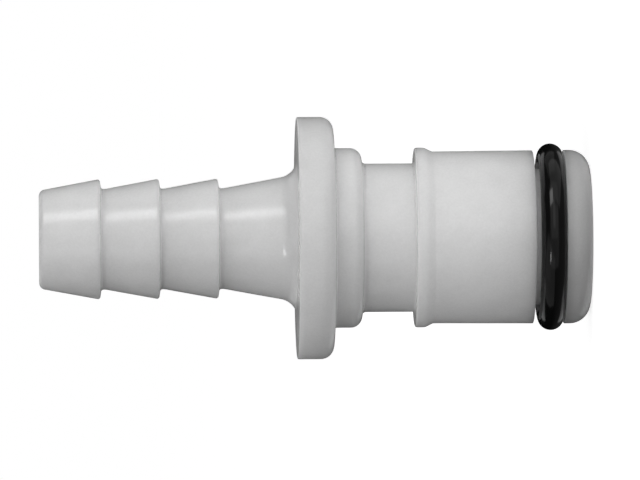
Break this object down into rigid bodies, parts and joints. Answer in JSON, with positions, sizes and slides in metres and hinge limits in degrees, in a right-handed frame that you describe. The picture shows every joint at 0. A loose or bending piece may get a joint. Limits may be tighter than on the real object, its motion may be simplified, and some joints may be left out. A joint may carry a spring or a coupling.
{
  "type": "plastic quick disconnect coupling insert",
  "caption": "Straight plug half of a plastic quick disconnect tubing coupling, with a hose barb tail, a round flange, a latch groove and an O-ring on its nose.",
  "frame": {"origin": "centre of the nose's flat end face, which the part stands on", "axes": "+Z along the flow axis, from the nose to the tip of the hose barb; X and Y are any two directions across it"},
  "size_m": [0.0168, 0.0168, 0.0382],
  "materials": {
    "acetal": "satin",
    "seal_rubber": "smooth"
  },
  "bodies": {
    "root": {"insert_body": "acetal", "nose_o_ring": "seal_rubber"}
  },
  "joints": []
}
